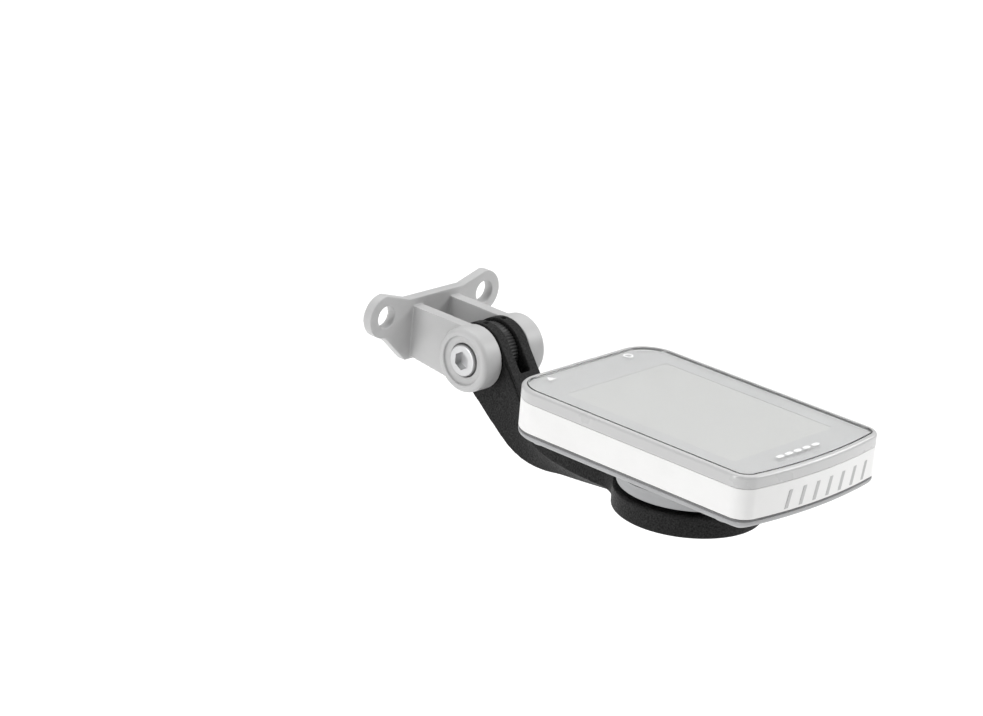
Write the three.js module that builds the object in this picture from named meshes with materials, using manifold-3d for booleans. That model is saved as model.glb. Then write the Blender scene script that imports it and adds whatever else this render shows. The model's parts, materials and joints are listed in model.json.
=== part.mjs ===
// Cycling computer docked on an out-front quarter-turn mount, in millimetres.
// +X is the rider's right, +Y is forward along the bicycle, +Z is up. The origin is the
// middle of the bracket's rear face, between the two bolt holes that fix it to a stem.

import * as THREE from 'three';
import { mergeVertices } from 'three/addons/utils/BufferGeometryUtils.js';
import Module from 'manifold-3d';

const wasm = await Module();
wasm.setup();

// ---- driving dimensions -------------------------------------------------------------

const GAP = 0.3;                       // clearance between pieces that touch or slide
const PIVOT = { y: 22, z: -6.4 };      // hinge axis, parallel to X
const SOCKET = { y: 86, z: -19.8 };    // centre of the mount's ring, in its top plane

const BRACKET = {
  holeSpacing: 33.8, holeRadius: 2.75, eyeRadius: 5.4, plateThickness: 2.6,
  barTop: 3.2, barBottom: -12.5,
  cheekInner: 4.9, cheekOuter: 8.0, bossOuter: 10.6, bossRadius: 7.9, bossChamfer: 0.8,
};
const BOLT = { radius: 2.45, headRadius: 3.9, headHeight: 2.6, hexFlats: 4, nutFlats: 8, nutHeight: 3 };
const HUB = { radius: 7.4, halfWidth: 1.35, flutes: 32, fluteDepth: 0.25 };

const ARM = { earRadius: 8.2, earHalfWidth: 4.55, slotHalfWidth: 1.65, slotRadius: 11.2, boreRadius: 2.75 };
const RING = {
  radius: 17.65, height: 5.34, edge: 0.5, lipRadius: 13.2, lipThickness: 1.3, chamberRadius: 15.5,
  floorThickness: 1.15, notchHalfAngle: 28, flareRadius: 9, armHalfWidth: 6,
};

// The computer, with heights above the ring's top plane.
const CASE = {
  halfWidth: 24.5, rear: -36.8, frontCorner: 34.4, bow: 2.4, rearRadius: 8.5, frontRadius: 4.5,
  wall: 1.8, face: 19.7, bezelBottom: 16.9, bandTop: 16.6, bandBottom: 9.45, shellTop: 8.45,
  pedestal: 0.9, pedestalRadius: 17,
};
// The shallow rear shell, outside and inside, as [height, inset] levels.
const SHELL_OUTSIDE = [[3.8, 12], [4.4, 8.6], [5.4, 5.4], [6.6, 2.6], [7.5, 0.9], [8.1, 0.25], [8.45, 0]];
const SHELL_INSIDE = [[5.2, 12.5], [5.8, 9], [6.9, 5.4], [8, 2.8], [9.45, 1.8]];
const GLASS = { inset: 1.4, depth: 1.3 };
const BUTTON = { x: 13.2, z: 13, powerY: 12, width: 8, height: 3.4, proud: 0.8 };
const CASE_SCREW = {
  x: 18.2, rearY: -29, frontY: 26, headRadius: 1.9, headLow: 5.4, headHigh: 6.7, tip: 12.6,
};
const FOOT = {
  neckRadius: 12.8, tabRadius: 15.1, tabHalfAngle: 25, bottom: -2.9, tabTop: -1.6, flange: 14.2,
};
const FOOT_SCREW = { circle: 9, headRadius: 1.8, headLow: -2.7, headHigh: -1.5, tip: 4.2 };
const USB = {
  z: 6.4, width: 7.6, height: 2.6, padHalf: 8.2, padBottom: 3.8, capWidth: 12, capLow: 4, capHigh: 8,
};
const VENT = { x: 10, y: 24, radius: 1.6, low: 4.1, high: 5 };
const BATTERY = { width: 31, length: 44, low: 6.2, high: 10.1 };
const BOARD = { low: 10.4, high: 11.4, inset: 3.6, partsFrom: 11.7 };

const RIGHT = Math.PI / 2;
const radians = THREE.MathUtils.degToRad;

// ---- finishes -----------------------------------------------------------------------

const finish = (color, roughness, metalness = 0) => ({ color, roughness, metalness });
const BLACK_NYLON = finish(0x1b1b1c, 0.62);
const BLACK_RUBBER = finish(0x161617, 0.85);
const GREY_ALLOY = finish(0xa9abae, 0.4, 0.85);
const STEEL = finish(0xb9bbbe, 0.28, 0.95);
const PALE_GREY = finish(0xb4b6b9, 0.35);
const SILVER_BAND = finish(0xe4e5e4, 0.42);
const CLEAR_GLASS = finish(0xd2d4d5, 0.08);
const DISPLAY = finish(0xdadbd8, 0.3);
const DARK_SHELL = finish(0x3a3c3f, 0.55);
const GREEN_BOARD = finish(0x1e5a3a, 0.5);
const TIN = finish(0xc6c8ca, 0.35, 0.8);
const CERAMIC = finish(0xcdbf9e, 0.5);
const SILVER_POUCH = finish(0xbfc3c6, 0.3, 0.6);

// ---- solid helpers ------------------------------------------------------------------

function toManifold(geometry) {
  const bare = geometry.clone();
  bare.deleteAttribute('normal');
  bare.deleteAttribute('uv');
  const merged = mergeVertices(bare, 1e-4);
  return new wasm.Manifold(new wasm.Mesh({
    numProp: 3,
    vertProperties: new Float32Array(merged.attributes.position.array),
    triVerts: new Uint32Array(merged.index.array),
  }));
}

function toGeometry(manifold) {
  const { vertProperties, triVerts } = manifold.getMesh();
  const geometry = new THREE.BufferGeometry();
  geometry.setAttribute('position', new THREE.BufferAttribute(vertProperties, 3));
  geometry.setIndex(new THREE.BufferAttribute(triVerts, 1));
  geometry.computeVertexNormals();
  return geometry;
}

const join = (first, ...rest) => rest.reduce((sum, g) => sum.add(toManifold(g)), toManifold(first));
const fill = (base, ...extras) => extras.reduce((sum, g) => sum.add(toManifold(g)), base);
const cut = (base, ...tools) => tools.reduce((left, g) => left.subtract(toManifold(g)), base);

function part(name, shape, look) {
  const geometry = shape.isBufferGeometry ? shape : toGeometry(shape);
  const mesh = new THREE.Mesh(geometry, new THREE.MeshStandardMaterial(look));
  mesh.name = name;
  return mesh;
}

// A box given by its low and high corners.
function block(x0, x1, y0, y1, z0, z1) {
  const box = new THREE.BoxGeometry(x1 - x0, y1 - y0, z1 - z0);
  return box.translate((x0 + x1) / 2, (y0 + y1) / 2, (z0 + z1) / 2);
}

// A solid of revolution about Z; the profile is [radius, height] pairs from axis to axis.
function turned(profile, steps = 40) {
  return new THREE.LatheGeometry(profile.map(([r, z]) => new THREE.Vector2(r, z)), steps).rotateX(RIGHT);
}

const disc = (radius, z0, z1, steps = 40) => turned([[0, z0], [radius, z0], [radius, z1], [0, z1]], steps);
const pin = (radius, z0, z1, x, y, steps = 14) => disc(radius, z0, z1, steps).translate(x, y, 0);

// The same disc laid along X, through the point (y, z).
function discX(radius, x0, x1, y = 0, z = 0, steps = 40) {
  return disc(radius, x0, x1, steps).rotateY(RIGHT).translate(0, y, z);
}

function slab(shape, z0, z1, steps = 4) {
  const options = { depth: z1 - z0, bevelEnabled: false, curveSegments: steps };
  return new THREE.ExtrudeGeometry(shape, options).translate(0, 0, z0);
}

// A slab whose outline is drawn in Y and Z, and which runs along X.
const sideSlab = (shape, x0, x1, steps) => slab(shape, x0, x1, steps).rotateX(RIGHT).rotateZ(RIGHT);

// A closed skin over rings of points that all have the same count and are convex.
function skin(rings) {
  const count = rings[0].length;
  const index = [];
  for (let k = 0; k + 1 < rings.length; k += 1) {
    for (let i = 0; i < count; i += 1) {
      const low = k * count;
      const next = (i + 1) % count;
      index.push(low + i, low + next, low + count + next, low + i, low + count + next, low + count + i);
    }
  }
  const top = (rings.length - 1) * count;
  for (let i = 1; i + 1 < count; i += 1) {
    index.push(0, i + 1, i, top, top + i, top + i + 1);
  }
  const geometry = new THREE.BufferGeometry().setFromPoints(rings.flat());
  geometry.setIndex(index);
  geometry.computeVertexNormals();
  return geometry;
}

// ---- outlines -----------------------------------------------------------------------

function arc(cx, cy, radius, from, to, steps) {
  return Array.from({ length: steps + 1 }, (_, i) => {
    const a = from + (to - from) * i / steps;
    return new THREE.Vector2(cx + radius * Math.cos(a), cy + radius * Math.sin(a));
  });
}

// The computer's outline seen from above, pulled in all round by inset.
function caseOutline(inset) {
  const half = CASE.halfWidth - inset;
  const rear = CASE.rear + inset;
  const fullBow = (CASE.halfWidth ** 2 + CASE.bow ** 2) / (2 * CASE.bow);
  const bowY = CASE.frontCorner + CASE.bow - fullBow;
  const bow = fullBow - inset;
  const rearRadius = Math.max(CASE.rearRadius - inset, 1);
  const frontRadius = Math.max(CASE.frontRadius - inset, 1);
  const cx = half - frontRadius;
  const cy = bowY + Math.sqrt((bow - frontRadius) ** 2 - cx ** 2);
  const turn = Math.atan2(cy - bowY, cx);
  return [
    ...arc(half - rearRadius, rear + rearRadius, rearRadius, -RIGHT, 0, 5),
    ...arc(cx, cy, frontRadius, 0, turn, 4),
    ...arc(0, bowY, bow, turn, Math.PI - turn, 5).slice(1, -1),
    ...arc(-cx, cy, frontRadius, Math.PI - turn, Math.PI, 4),
    ...arc(rearRadius - half, rear + rearRadius, rearRadius, Math.PI, 3 * RIGHT, 5),
  ];
}

// A body whose outline is the case's, given as [height, inset] levels from low to high.
function caseBody(levels) {
  return skin(levels.map(([z, inset]) => caseOutline(inset).map((p) => new THREE.Vector3(p.x, p.y, z))));
}

function roundedRect(width, height, radius) {
  const w = width / 2 - radius;
  const h = height / 2 - radius;
  const shape = new THREE.Shape();
  shape.absarc(w, h, radius, 0, RIGHT);
  shape.absarc(-w, h, radius, RIGHT, Math.PI);
  shape.absarc(-w, -h, radius, Math.PI, 3 * RIGHT);
  shape.absarc(w, -h, radius, 3 * RIGHT, 4 * RIGHT);
  return shape;
}

// A ring sector about Z, centred on the angle middle, in degrees.
function sector(inner, outer, middle, half, z0, z1) {
  const from = radians(middle - half);
  const to = radians(middle + half);
  const outline = [...arc(0, 0, outer, from, to, 8), ...arc(0, 0, inner, to, from, 4)];
  return slab(new THREE.Shape(outline), z0, z1);
}

const hexagon = (flats) => new THREE.Shape(arc(0, 0, flats / Math.sqrt(3), 0, 5 * Math.PI / 3, 5));

// ---- stem bracket and hinge (placed about the origin) --------------------------------

function bracketPlate() {
  const { eyeRadius, barTop, barBottom, plateThickness, holeSpacing } = BRACKET;
  const eye = holeSpacing / 2;
  const waist = BRACKET.cheekOuter + 1.5;
  const outline = new THREE.Shape();
  outline.absarc(eye, 0, eyeRadius, -RIGHT, RIGHT);
  outline.lineTo(waist, barTop);
  outline.lineTo(-waist, barTop);
  outline.absarc(-eye, 0, eyeRadius, RIGHT, 3 * RIGHT);
  outline.lineTo(-waist, barBottom);
  outline.lineTo(waist, barBottom);
  return slab(outline, 0, plateThickness, 10).rotateX(RIGHT).translate(0, plateThickness, 0);
}

function stemBracket() {
  const { cheekInner, cheekOuter, bossOuter, bossRadius, bossChamfer, barTop, barBottom } = BRACKET;
  const outline = new THREE.Shape();
  outline.moveTo(1, barTop - 2);
  outline.lineTo(1, barBottom + 1);
  outline.lineTo(PIVOT.y - 1, PIVOT.z - bossRadius + 0.4);
  outline.lineTo(PIVOT.y - 1, PIVOT.z + bossRadius - 0.4);
  const boss = turned([[0, cheekInner], [bossRadius, cheekInner], [bossRadius, bossOuter - bossChamfer],
    [bossRadius - bossChamfer, bossOuter], [0, bossOuter]]).rotateY(RIGHT);
  const cheeks = [
    sideSlab(outline, cheekInner, cheekOuter, 10),
    sideSlab(outline, -cheekOuter, -cheekInner, 10),
    boss.clone().translate(0, PIVOT.y, PIVOT.z),
    boss.clone().rotateY(Math.PI).translate(0, PIVOT.y, PIVOT.z),
  ];
  const seat = bossOuter - BOLT.headHeight - GAP;
  const eye = BRACKET.holeSpacing / 2;
  const hole = disc(BRACKET.holeRadius, -1, 4, 28).rotateX(-RIGHT);
  const nutPocket = slab(hexagon(BOLT.nutFlats + 2 * GAP), -bossOuter - 1, -bossOuter + BOLT.nutHeight + GAP);
  return cut(
    join(bracketPlate(), ...cheeks),
    hole.clone().translate(eye, 0, 0),
    hole.clone().translate(-eye, 0, 0),
    discX(BOLT.radius + GAP, -12, 12, PIVOT.y, PIVOT.z, 28),
    discX(BOLT.headRadius + GAP, seat, 12, PIVOT.y, PIVOT.z, 32),
    discX(6, bossOuter - 0.8, 12, PIVOT.y, PIVOT.z, 32),
    discX(6, -12, 0.8 - bossOuter, PIVOT.y, PIVOT.z, 32),
    nutPocket.rotateY(RIGHT).translate(0, PIVOT.y, PIVOT.z),
  );
}

function pivotHub() {
  const { radius, halfWidth, flutes, fluteDepth } = HUB;
  const rim = Array.from({ length: flutes * 2 }, (_, i) => {
    const r = radius - (i % 2) * fluteDepth;
    const a = i * Math.PI / flutes;
    return new THREE.Vector2(r * Math.cos(a), r * Math.sin(a));
  });
  const wheel = slab(new THREE.Shape(rim), -halfWidth, halfWidth).rotateY(RIGHT);
  return cut(toManifold(wheel), discX(BOLT.radius + GAP, -3, 3, 0, 0, 28));
}

function pivotBolt() {
  const { radius, headRadius, headHeight, hexFlats } = BOLT;
  const head = BRACKET.bossOuter - headHeight;
  const tip = -BRACKET.bossOuter + 0.4;
  const body = turned([[0, tip], [radius - 0.5, tip], [radius, tip + 0.5], [radius, head],
    [headRadius, head], [headRadius, head + headHeight - 0.5], [headRadius - 0.5, head + headHeight],
    [0, head + headHeight]], 28);
  const socket = slab(hexagon(hexFlats), head + 0.6, head + headHeight + 1);
  return cut(toManifold(body.rotateY(RIGHT)), socket.rotateY(RIGHT));
}

function pivotNut() {
  const outer = -BRACKET.bossOuter;
  const nut = slab(hexagon(BOLT.nutFlats), outer + 0.3, outer + BOLT.nutHeight);
  return cut(toManifold(nut.rotateY(RIGHT)), discX(BOLT.radius + GAP, outer - 1, outer + 5, 0, 0, 28));
}

// ---- mount arm (placed about the ring's centre) --------------------------------------

// Stations along the arm, from the hinge to the ring: the top line and the bottom line in
// Y and Z, half widths at the top and bottom, and how deep the upright upper wall is.
const STATIONS = [
  { top: [-57.5, 18.4], bottom: [-69.3, 7.1], halfTop: 4.55, halfBottom: 4.55, wall: 0.6 },
  { top: [-54.9, 14.8], bottom: [-63.5, 2.4], halfTop: 4.55, halfBottom: 4.5, wall: 0.6 },
  { top: [-52.4, 11.4], bottom: [-57.8, -2.3], halfTop: 4.6, halfBottom: 4.3, wall: 1.0 },
  { top: [-50.3, 8.8], bottom: [-53.0, -6.0], halfTop: 4.8, halfBottom: 4.0, wall: 2.6 },
  { top: [-48.2, 6.2], bottom: [-49.2, -7.9], halfTop: 5.1, halfBottom: 3.7, wall: 4.3 },
  { top: [-46.2, 4.2], bottom: [-45.4, -8.8], halfTop: 5.4, halfBottom: 3.4, wall: 5.3 },
  { top: [-43, 2.3], bottom: [-41, -8.9], halfTop: 5.7, halfBottom: 3.2, wall: 5.4 },
  { top: [-38, 0.9], bottom: [-36, -8.2], halfTop: 5.9, halfBottom: 3.2, wall: 5.3 },
  { top: [-31, 0.2], bottom: [-29.5, -7.6], halfTop: 6, halfBottom: 3.4, wall: 5.3 },
  { top: [-24, 0], bottom: [-22.5, -6.6], halfTop: 6, halfBottom: 4.2, wall: 5.3 },
  { top: [-16, 0], bottom: [-16, -5.34], halfTop: 6, halfBottom: 5.6, wall: 5 },
];

function armBeam() {
  const line = (pick) => new THREE.CatmullRomCurve3(STATIONS.map(pick));
  const top = line((s) => new THREE.Vector3(s.halfTop, ...s.top));
  const bottom = line((s) => new THREE.Vector3(s.halfBottom, ...s.bottom));
  const wall = line((s) => new THREE.Vector3(s.wall, 0, 0));
  const steps = 2 * (STATIONS.length - 1);
  return skin(Array.from({ length: steps + 1 }, (_, i) => {
    const high = top.getPoint(i / steps);
    const low = bottom.getPoint(i / steps);
    const share = wall.getPoint(i / steps).x / Math.hypot(high.y - low.y, high.z - low.z);
    const crease = high.clone().lerp(new THREE.Vector3(high.x, low.y, low.z), share);
    const right = [high, crease, low];
    const left = right.map((p) => new THREE.Vector3(-p.x, p.y, p.z)).reverse();
    return [...right, ...left];
  }));
}

// The fillets where the arm widens into the ring.
function ringFlare() {
  const { radius, height, flareRadius, armHalfWidth } = RING;
  const cx = armHalfWidth + flareRadius;
  const cy = -Math.sqrt((radius + flareRadius) ** 2 - cx ** 2);
  const turn = Math.atan2(-cy, -cx);
  const outline = [
    new THREE.Vector2(0, -5),
    new THREE.Vector2(-armHalfWidth, -5),
    ...arc(-cx, cy, flareRadius, Math.PI - turn, 0, 8),
    new THREE.Vector2(-armHalfWidth, cy - 3),
    new THREE.Vector2(armHalfWidth, cy - 3),
    ...arc(cx, cy, flareRadius, Math.PI, turn, 8),
    new THREE.Vector2(armHalfWidth, -5),
  ];
  return slab(new THREE.Shape(outline), -height, 0);
}

// The quarter-turn socket: lips at the sides, entry notches front and rear, a floor with
// openings under the lips, and a radial detent finger on each side.
function socketCuts() {
  const { lipRadius, lipThickness, chamberRadius, height, floorThickness, notchHalfAngle } = RING;
  const floor = floorThickness - height;
  const cuts = [
    disc(lipRadius, floor, 1, 56),
    disc(chamberRadius, floor, -lipThickness, 56),
    sector(8, chamberRadius, 90, notchHalfAngle, floor, 1),
    sector(8, chamberRadius, -90, notchHalfAngle, floor, 1),
  ];
  for (const side of [0, 180]) {
    for (const turn of [-25, 25]) {
      cuts.push(sector(8.5, chamberRadius, side + turn, 15, -height - 1, floor + 1));
    }
  }
  cuts.push(pin(1, -height - 1, floor + 1, 2.3, -3.1, 12), pin(1, -height - 1, floor + 1, -2.3, 3.1, 12));
  return cuts;
}

function detentFinger(side) {
  const { height, floorThickness, chamberRadius } = RING;
  const floor = floorThickness - height;
  const outline = new THREE.Shape();
  outline.moveTo(side * 5.5, -0.8);
  outline.lineTo(side * 5.5, 0.8);
  outline.lineTo(side * (chamberRadius + 0.5), 1.9);
  outline.lineTo(side * (chamberRadius + 0.5), -1.9);
  return slab(outline, floor - 0.5, floor + 0.8);
}

function mountArm() {
  const hingeY = PIVOT.y - SOCKET.y;
  const hingeZ = PIVOT.z - SOCKET.z;
  const { earRadius, earHalfWidth, slotHalfWidth, slotRadius, boreRadius } = ARM;
  const { radius, height, edge } = RING;
  const ear = discX(earRadius, -earHalfWidth, earHalfWidth, hingeY, hingeZ, 48);
  const puck = turned([[0, -height], [radius - edge, -height], [radius, edge - height],
    [radius, -edge], [radius - edge, 0], [0, 0]], 72);
  const body = cut(join(ear, armBeam(), ringFlare(), puck),
    discX(slotRadius, -slotHalfWidth, slotHalfWidth, hingeY, hingeZ, 40),
    discX(boreRadius, -6, 6, hingeY, hingeZ, 28),
    ...socketCuts());
  return body.add(toManifold(detentFinger(1))).add(toManifold(detentFinger(-1)));
}

// ---- computer housing ----------------------------------------------------------------

function frontBezel() {
  const { face, bezelBottom } = CASE;
  const lip = 3.4;
  const outer = caseBody([[bezelBottom, 0], [face - 0.8, 0], [face - 0.25, 0.2], [face, 0.6]]);
  const window = caseBody([[bezelBottom - 1, lip], [face + 1, lip]]);
  const glassSeat = GLASS.inset - GAP;
  const pocket = caseBody([[face - GLASS.depth - GAP, glassSeat], [face + 1, glassSeat]]);
  return cut(toManifold(outer), window, pocket);
}

function coverGlass() {
  const { inset, depth } = GLASS;
  return caseBody([[CASE.face - depth, inset], [CASE.face - 0.25, inset], [CASE.face, inset + 0.2]]);
}

function wallCutouts() {
  const { x, z, powerY } = BUTTON;
  const long = BUTTON.width + 2 * GAP;
  const short = BUTTON.height + 2 * GAP;
  const reach = 8;
  const pill = slab(roundedRect(long, short, 1.9), -reach, reach, 3).rotateX(RIGHT);
  const power = slab(roundedRect(short, long, 1.9), -reach, reach, 3).rotateY(RIGHT);
  return [
    pill.clone().translate(x, CASE.rear, z),
    pill.clone().translate(-x, CASE.rear, z),
    power.translate(-CASE.halfWidth, powerY, z),
  ];
}

function caseScrewSpots() {
  const { x, rearY, frontY } = CASE_SCREW;
  return [[x, rearY], [-x, rearY], [x, frontY], [-x, frontY]];
}

function footScrewSpots() {
  const { circle } = FOOT_SCREW;
  return [45, 135, 225, 315].map(radians).map((a) => [circle * Math.cos(a), circle * Math.sin(a)]);
}

// A tapped boss inside the band, with a web that ties it to the wall.
function bandBoss([x, y]) {
  const { bandBottom, halfWidth, wall } = CASE;
  const top = 14;
  const reach = Math.sign(x) * (halfWidth - wall + 0.5);
  return [
    pin(2.6, bandBottom, top, x, y),
    block(Math.min(x, reach), Math.max(x, reach), y - 1.2, y + 1.2, bandBottom, top),
  ];
}

function midBand() {
  const { bandTop, bandBottom, wall } = CASE;
  const outer = caseBody([[bandBottom, 0], [bandTop, 0]]);
  const inner = caseBody([[bandBottom - 1, wall], [bandTop + 1, wall]]);
  const ring = cut(toManifold(outer), inner, ...wallCutouts());
  const filled = fill(ring, ...caseScrewSpots().flatMap(bandBoss));
  return cut(filled, ...caseScrewSpots().map(([x, y]) => pin(1.2, bandBottom - 1, 13, x, y, 12)));
}

// The charging port's tunnel, and the seat that its cap closes against.
function usbCuts() {
  const { z, width, height, capWidth } = USB;
  const tunnel = slab(roundedRect(width + 2 * GAP, height + 2 * GAP, 1), -7, 7, 3).rotateX(RIGHT);
  const seatHalf = capWidth / 2 + GAP;
  return [
    tunnel.translate(0, CASE.rear + 2, z),
    block(-seatHalf, seatHalf, CASE.rear - 1, CASE.rear + 1.8, USB.padBottom - 1, CASE.shellTop + 1),
  ];
}

function rearShell() {
  const { shellTop, pedestal, pedestalRadius, rear } = CASE;
  const { headRadius, headHigh } = CASE_SCREW;
  const filled = join(caseBody(SHELL_OUTSIDE), disc(pedestalRadius, pedestal, 5, 64));
  const hollow = fill(cut(filled, caseBody(SHELL_INSIDE)),
    block(-USB.padHalf, USB.padHalf, rear + 0.5, rear + 9.5, USB.padBottom, shellTop),
    ...caseScrewSpots().map(([x, y]) => pin(2.9, 6, shellTop, x, y)));
  return cut(hollow,
    disc(FOOT.flange + GAP, 0, 2.4 + GAP, 56),
    pin(VENT.radius + GAP, 0, 6, VENT.x, VENT.y),
    ...usbCuts(),
    ...footScrewSpots().map(([x, y]) => pin(1.1, 0, 4.6, x, y, 10)),
    ...caseScrewSpots().map(([x, y]) => pin(1.2, 0, 12, x, y, 12)),
    ...caseScrewSpots().map(([x, y]) => pin(headRadius + GAP, 0, headHigh + GAP, x, y)));
}

function caseSeal() {
  const ring = caseBody([[CASE.shellTop + GAP, 0.45], [CASE.bandBottom - GAP, 0.45]]);
  return cut(toManifold(ring), caseBody([[CASE.shellTop - 1, 1.6], [CASE.bandBottom + 1, 1.6]]));
}

function quarterTurnFoot() {
  const { neckRadius, tabRadius, tabHalfAngle, bottom, tabTop, flange } = FOOT;
  const { headRadius, headHigh } = FOOT_SCREW;
  const body = join(disc(flange, CASE.pedestal + GAP, 2.4, 56), disc(neckRadius, bottom, 1.5, 56),
    sector(8, tabRadius, 0, tabHalfAngle, bottom, tabTop),
    sector(8, tabRadius, 180, tabHalfAngle, bottom, tabTop));
  return cut(body, disc(5.5, bottom - 1, bottom + 0.8, 32),
    ...footScrewSpots().map(([x, y]) => pin(1.1, -4, 4, x, y, 10)),
    ...footScrewSpots().map(([x, y]) => pin(headRadius + GAP, -4, headHigh + GAP, x, y)));
}

// A small screw that stands on its head, with a hexagon socket in it.
function smallScrew({ headRadius, headLow, headHigh, tip }) {
  const shank = 0.8;
  const body = turned([[0, headLow], [headRadius, headLow], [headRadius, headHigh], [shank, headHigh],
    [shank, tip], [0, tip]], 12);
  return cut(toManifold(body), slab(hexagon(1.4), headLow - 1, headLow + 0.7));
}

// ---- buttons, cap and what they press -------------------------------------------------

// A push button that slides along Z: its cap shows and its flange holds it behind the wall,
// flangeTop below the wall's inner face.
function buttonCap(flangeTop) {
  const { width, height, proud } = BUTTON;
  const cap = slab(roundedRect(width, height, 1.6), -0.3, flangeTop + CASE.wall + proud, 3);
  return join(cap, slab(roundedRect(width + 1.2, height + 1.4, 1), -0.7, -0.1, 2));
}

function usbCap() {
  const { z, capWidth, capLow, capHigh } = USB;
  const { rear } = CASE;
  const lid = slab(roundedRect(capWidth, capHigh - capLow, 1.2), 0, 1.2, 3).rotateX(RIGHT);
  const plug = slab(roundedRect(7.2, 2, 0.8), 0, 1, 2).rotateX(RIGHT);
  return join(lid.translate(0, rear + 1.5, (capLow + capHigh) / 2), plug.translate(0, rear + 2.4, z));
}

// ---- inner parts ----------------------------------------------------------------------

function mainBoard() {
  const { low, high, inset } = BOARD;
  const board = caseBody([[low, inset], [high, inset]]);
  const powerNotch = block(-30, -18.6, BUTTON.powerY - 6, BUTTON.powerY + 6, low - 1, high + 1);
  const buttonNotch = block(-20, 20, -40, -29.8, low - 1, high + 1);
  const bossHoles = caseScrewSpots().map(([x, y]) => pin(3.2, low - 1, high + 1, x, y));
  return cut(toManifold(board), powerNotch, buttonNotch, ...bossHoles);
}

function usbReceptacle() {
  const { width, height, z } = USB;
  const shell = slab(roundedRect(width, height, 0.9), 0, 5, 2).rotateX(RIGHT);
  const mouth = slab(roundedRect(width - 1, height - 1, 0.6), 0.5, 6, 2).rotateX(RIGHT);
  return cut(toManifold(shell), mouth).translate([0, -28.2, z]);
}

function displayParts() {
  const lensBottom = CASE.face - GLASS.depth;
  const panel = slab(roundedRect(40, 55, 1.5), lensBottom - 1.8, lensBottom - GAP).translate(0, 1, 0);
  const carrier = slab(roundedRect(41, 57, 2), 15, 16.2).translate(0, 0.6, 0);
  return [part('display_module', panel, DISPLAY), part('display_carrier', carrier, BLACK_NYLON)];
}

function battery() {
  const { width, length, low, high } = BATTERY;
  return slab(roundedRect(width, length, 2), low, high).translate(0, 0.5, 0);
}

// Each switch stands just behind the button that presses it.
function switches() {
  const { x, powerY } = BUTTON;
  const half = 3;
  const low = BOARD.partsFrom - 0.1;
  const high = low + 3;
  const behind = (middle) => block(middle - half, middle + half, -33.1, -31.6, low, high);
  return [
    part('lap_switch', behind(-x), BLACK_NYLON),
    part('start_switch', behind(x), BLACK_NYLON),
    part('power_switch', block(-20.9, -19.4, powerY - half, powerY + half, low, high), BLACK_NYLON),
  ];
}

function boardParts() {
  const low = BOARD.partsFrom;
  return [
    part('main_board', mainBoard(), GREEN_BOARD),
    part('shield_can', block(-10, 10, -8, 10, low, 13.4), TIN),
    part('gps_antenna', block(-7.5, 7.5, 14, 29, low, 14.6), CERAMIC),
    part('buzzer', pin(3.6, low, 14.4, 15, -14, 24), BLACK_NYLON),
    part('usb_receptacle', usbReceptacle(), TIN),
  ];
}

// ---- assembly -------------------------------------------------------------------------

function hinge() {
  const group = new THREE.Group();
  group.position.set(0, PIVOT.y, PIVOT.z);
  group.add(part('pivot_hub', pivotHub(), BLACK_NYLON));
  group.add(part('pivot_bolt', pivotBolt(), STEEL));
  group.add(part('pivot_nut', pivotNut(), STEEL));
  return group;
}

function buttons() {
  const { x, z, powerY } = BUTTON;
  const flangeTop = GAP + 0.1;
  const behindWall = CASE.wall + flangeTop;
  const lap = part('lap_button', buttonCap(flangeTop), DARK_SHELL);
  const start = part('start_button', buttonCap(flangeTop), DARK_SHELL);
  const power = part('power_button', buttonCap(flangeTop), DARK_SHELL);
  lap.position.set(-x, CASE.rear + behindWall, z);
  start.position.set(x, CASE.rear + behindWall, z);
  lap.rotation.x = RIGHT;
  start.rotation.x = RIGHT;
  power.position.set(-CASE.halfWidth + behindWall, powerY, z);
  power.rotation.set(RIGHT, 0, -RIGHT, 'ZYX');
  return [lap, start, power];
}

// One screw for each spot, in a node of its own.
function screws(name, spots, size) {
  return spots.map(([x, y], i) => {
    const screw = part(`${name}_${i + 1}`, smallScrew(size), STEEL);
    screw.position.set(x, y, 0);
    return screw;
  });
}

function housing() {
  return [
    part('front_bezel', frontBezel(), PALE_GREY),
    part('cover_glass', coverGlass(), CLEAR_GLASS),
    part('mid_band', midBand(), SILVER_BAND),
    part('case_seal', caseSeal(), BLACK_RUBBER),
    part('rear_shell', rearShell(), DARK_SHELL),
    part('quarter_turn_foot', quarterTurnFoot(), BLACK_NYLON),
    part('usb_cap', usbCap(), BLACK_RUBBER),
    part('pressure_vent', pin(VENT.radius, VENT.low, VENT.high, VENT.x, VENT.y), BLACK_RUBBER),
    part('battery', battery(), SILVER_POUCH),
  ];
}

function computer() {
  const group = new THREE.Group();
  group.add(...housing(), ...displayParts(), ...boardParts(), ...switches(), ...buttons());
  group.add(...screws('foot_screw', footScrewSpots(), FOOT_SCREW));
  group.add(...screws('case_screw', caseScrewSpots(), CASE_SCREW));
  return group;
}

function assembly() {
  const root = new THREE.Group();
  const docked = new THREE.Group();
  docked.position.set(0, SOCKET.y, SOCKET.z);
  docked.add(part('mount_arm', mountArm(), BLACK_NYLON), computer());
  root.add(part('stem_bracket', stemBracket(), GREY_ALLOY), hinge(), docked);
  return root;
}

export default assembly();
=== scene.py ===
"""The looks of a cycling computer docked on its out-front quarter-turn mount.

Every piece is drawn in millimetres about the hinge, the socket or the bracket's face, and
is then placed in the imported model's frame, in metres, on the body that carries it."""

import json
import math

import bmesh
import bpy
from mathutils import Matrix, Vector


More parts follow.
